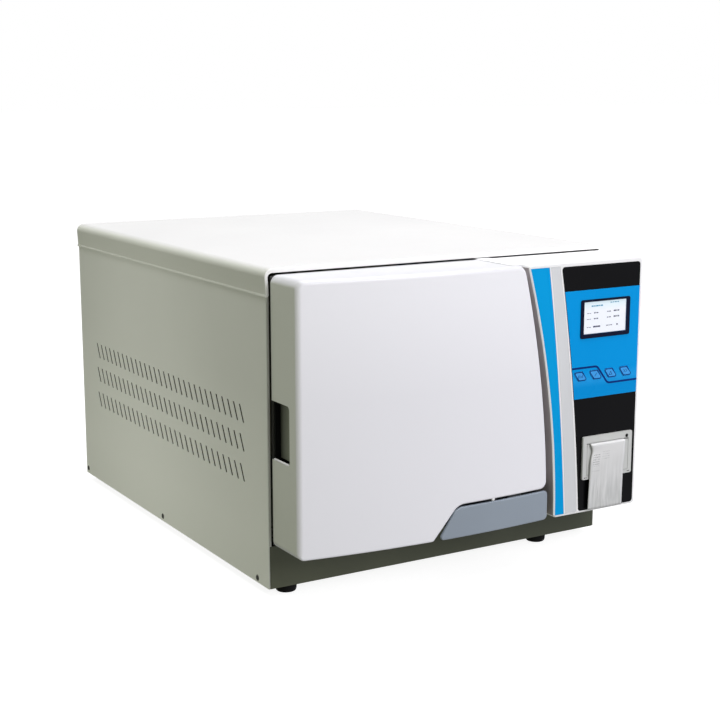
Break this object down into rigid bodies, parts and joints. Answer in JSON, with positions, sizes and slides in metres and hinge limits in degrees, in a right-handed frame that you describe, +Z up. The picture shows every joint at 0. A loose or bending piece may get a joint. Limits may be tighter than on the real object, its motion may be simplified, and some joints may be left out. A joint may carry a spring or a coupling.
{
  "type": "benchtop autoclave",
  "caption": "Benchtop steam autoclave: deep crowned door beside a curved control column with screen, keypad and printer; drain flap, vented casing, round chamber with trays.",
  "frame": {"origin": "on the bench, centred under the whole machine (left to right and front to back, printer paper and rear valve included)", "axes": "+X to the viewer's right when facing the door, +Y from the door to the rear, +Z up"},
  "size_m": [0.511, 0.74, 0.404],
  "materials": {
    "white_paint": "satin white powder coat",
    "white_plastic": "smooth white moulding",
    "panel_paint": "light grey powder coat",
    "base_paint": "dark olive grey powder coat",
    "rubber": "matt",
    "steel": "brushed",
    "polished_steel": "polished",
    "blue_film": "printed film",
    "silver_film": "printed film",
    "fascia_gloss": "gloss",
    "navy_film": "gloss",
    "screen": "clear lens over a pale display",
    "key_film": "printed film",
    "flap_plastic": "satin",
    "dark_plastic": "fine grain",
    "lever_plastic": "satin",
    "grey_plastic": "fine grain",
    "paper": "thermal paper",
    "brass": "machined",
    "silicone": "matt",
    "insulation": "glass cloth wrap",
    "board": "laminate",
    "tank_plastic": "translucent moulding",
    "knob_blue": "satin",
    "knob_red": "satin",
    "heater": "foil band"
  },
  "bodies": {
    "housing": {"base_chassis": "base_paint", "left_side_panel": "panel_paint", "right_side_panel": "panel_paint", "top_cover": "white_paint", "front_frame": "steel", "rear_panel": "panel_paint", "foot_front_left": "rubber", "foot_front_right": "rubber", "foot_rear_left": "rubber", "foot_rear_right": "rubber", "chamber_vessel": "polished_steel", "heater_jacket": "heater", "insulation_jacket": "insulation", "chamber_cradle": "steel", "tray_rack": "polished_steel", "lower_tray": "polished_steel", "middle_tray": "polished_steel", "upper_tray": "polished_steel", "clean_water_tank": "tank_plastic", "waste_water_tank": "tank_plastic", "steam_generator": "polished_steel", "vacuum_pump": "dark_plastic", "condenser": "steel", "fan_shroud": "dark_plastic", "main_board": "board", "safety_valve": "brass", "exhaust_nozzle": "brass", "power_inlet": "dark_plastic", "lock_bracket": "steel", "upper_hinge_bracket": "white_paint", "lower_hinge_bracket": "white_paint", "drain_bay": "dark_plastic", "column_shell": "white_plastic", "blue_stripe": "blue_film", "silver_stripe": "silver_film", "control_fascia": "fascia_gloss", "keypad_overlay": "blue_film", "display_bezel": "navy_film", "display_screen": "screen", "printer_frame": "grey_plastic"},
    "door": {"door_cover": "white_plastic", "door_liner": "panel_paint", "pressure_door": "polished_steel", "door_gasket": "silicone", "pressure_bridge": "steel", "latch_tongue": "steel"},
    "handle_lever": {"handle_lever": "lever_plastic"},
    "lock_bolt": {"lock_bolt": "steel"},
    "drain_flap": {"drain_flap": "flap_plastic"},
    "clean_drain_knob": {"clean_drain_knob": "knob_blue"},
    "waste_drain_knob": {"waste_drain_knob": "knob_red"},
    "fan_rotor": {"fan_rotor": "dark_plastic"},
    "power_switch_rocker": {"power_switch_rocker": "knob_red"},
    "key_1": {"key_1": "key_film"},
    "key_2": {"key_2": "key_film"},
    "key_3": {"key_3": "key_film"},
    "key_4": {"key_4": "key_film"},
    "printer_cover": {"printer_cover": "grey_plastic"},
    "paper_strip": {"paper_strip": "paper"},
    "paper_roll": {"paper_roll": "paper"}
  },
  "joints": [
    {"name": "door_hinge", "type": "hinge", "parent": "housing", "child": "door", "pos_m": [0.056, -0.358, 0.248], "axis": [0, 0, 1], "range_deg": [0, 100]},
    {"name": "lever_press", "type": "hinge", "parent": "door", "child": "handle_lever", "pos_m": [-0.2395, -0.326, 0.211], "axis": [0, 0, -1], "range_deg": [0, 12], "stiffness_Nm_per_rad": 0.3, "springref_deg": -5.73},
    {"name": "lock_bolt_drop", "type": "slide", "parent": "housing", "child": "lock_bolt", "axis": [0, 0, -1], "range_m": [0, 0.012], "stiffness_N_per_m": 120, "springref_m": -0.004},
    {"name": "drain_flap_hinge", "type": "hinge", "parent": "housing", "child": "drain_flap", "pos_m": [-0.014, -0.3665, 0.0675], "axis": [1, 0, 0], "range_deg": [0, 90]},
    {"name": "clean_knob_turn", "type": "hinge", "parent": "housing", "child": "clean_drain_knob", "pos_m": [0.008, -0.311, 0.083], "axis": [0, 1, 0], "range_deg": [0, 90]},
    {"name": "waste_knob_turn", "type": "hinge", "parent": "housing", "child": "waste_drain_knob", "pos_m": [0.068, -0.311, 0.083], "axis": [0, 1, 0], "range_deg": [0, 90]},
    {"name": "fan_spin", "type": "hinge", "parent": "housing", "child": "fan_rotor", "pos_m": [-0.134, 0.33, 0.3], "axis": [0, 1, 0], "continuous": true},
    {"name": "power_switch_rock", "type": "hinge", "parent": "housing", "child": "power_switch_rocker", "pos_m": [0.168, 0.343, 0.11], "axis": [1, 0, 0], "range_deg": [0, 16]},
    {"name": "key_1_press", "type": "slide", "parent": "housing", "child": "key_1", "axis": [0, 1, 0], "range_m": [0, 0.0005], "stiffness_N_per_m": 200, "springref_m": -0.0005},
    {"name": "key_2_press", "type": "slide", "parent": "housing", "child": "key_2", "axis": [0, 1, 0], "range_m": [0, 0.0005], "stiffness_N_per_m": 200, "springref_m": -0.0005},
    {"name": "key_3_press", "type": "slide", "parent": "housing", "child": "key_3", "axis": [0, 1, 0], "range_m": [0, 0.0005], "stiffness_N_per_m": 200, "springref_m": -0.0005},
    {"name": "key_4_press", "type": "slide", "parent": "housing", "child": "key_4", "axis": [0, 1, 0], "range_m": [0, 0.0005], "stiffness_N_per_m": 200, "springref_m": -0.0005},
    {"name": "printer_cover_hinge", "type": "hinge", "parent": "housing", "child": "printer_cover", "pos_m": [0.202, -0.366, 0.1156], "axis": [1, 0, 0], "range_deg": [0, 60]},
    {"name": "paper_hang", "type": "hinge", "parent": "printer_cover", "child": "paper_strip", "pos_m": [0.1998, -0.3672, 0.157], "axis": [1, 0, 0], "range_deg": [-60, 0]},
    {"name": "paper_roll_spin", "type": "hinge", "parent": "housing", "child": "paper_roll", "pos_m": [0.202, -0.341, 0.134], "axis": [1, 0, 0], "continuous": true}
  ],
  "couplings": [
    {"joint": "paper_hang", "follows": "printer_cover_hinge", "ratio": -1}
  ]
}
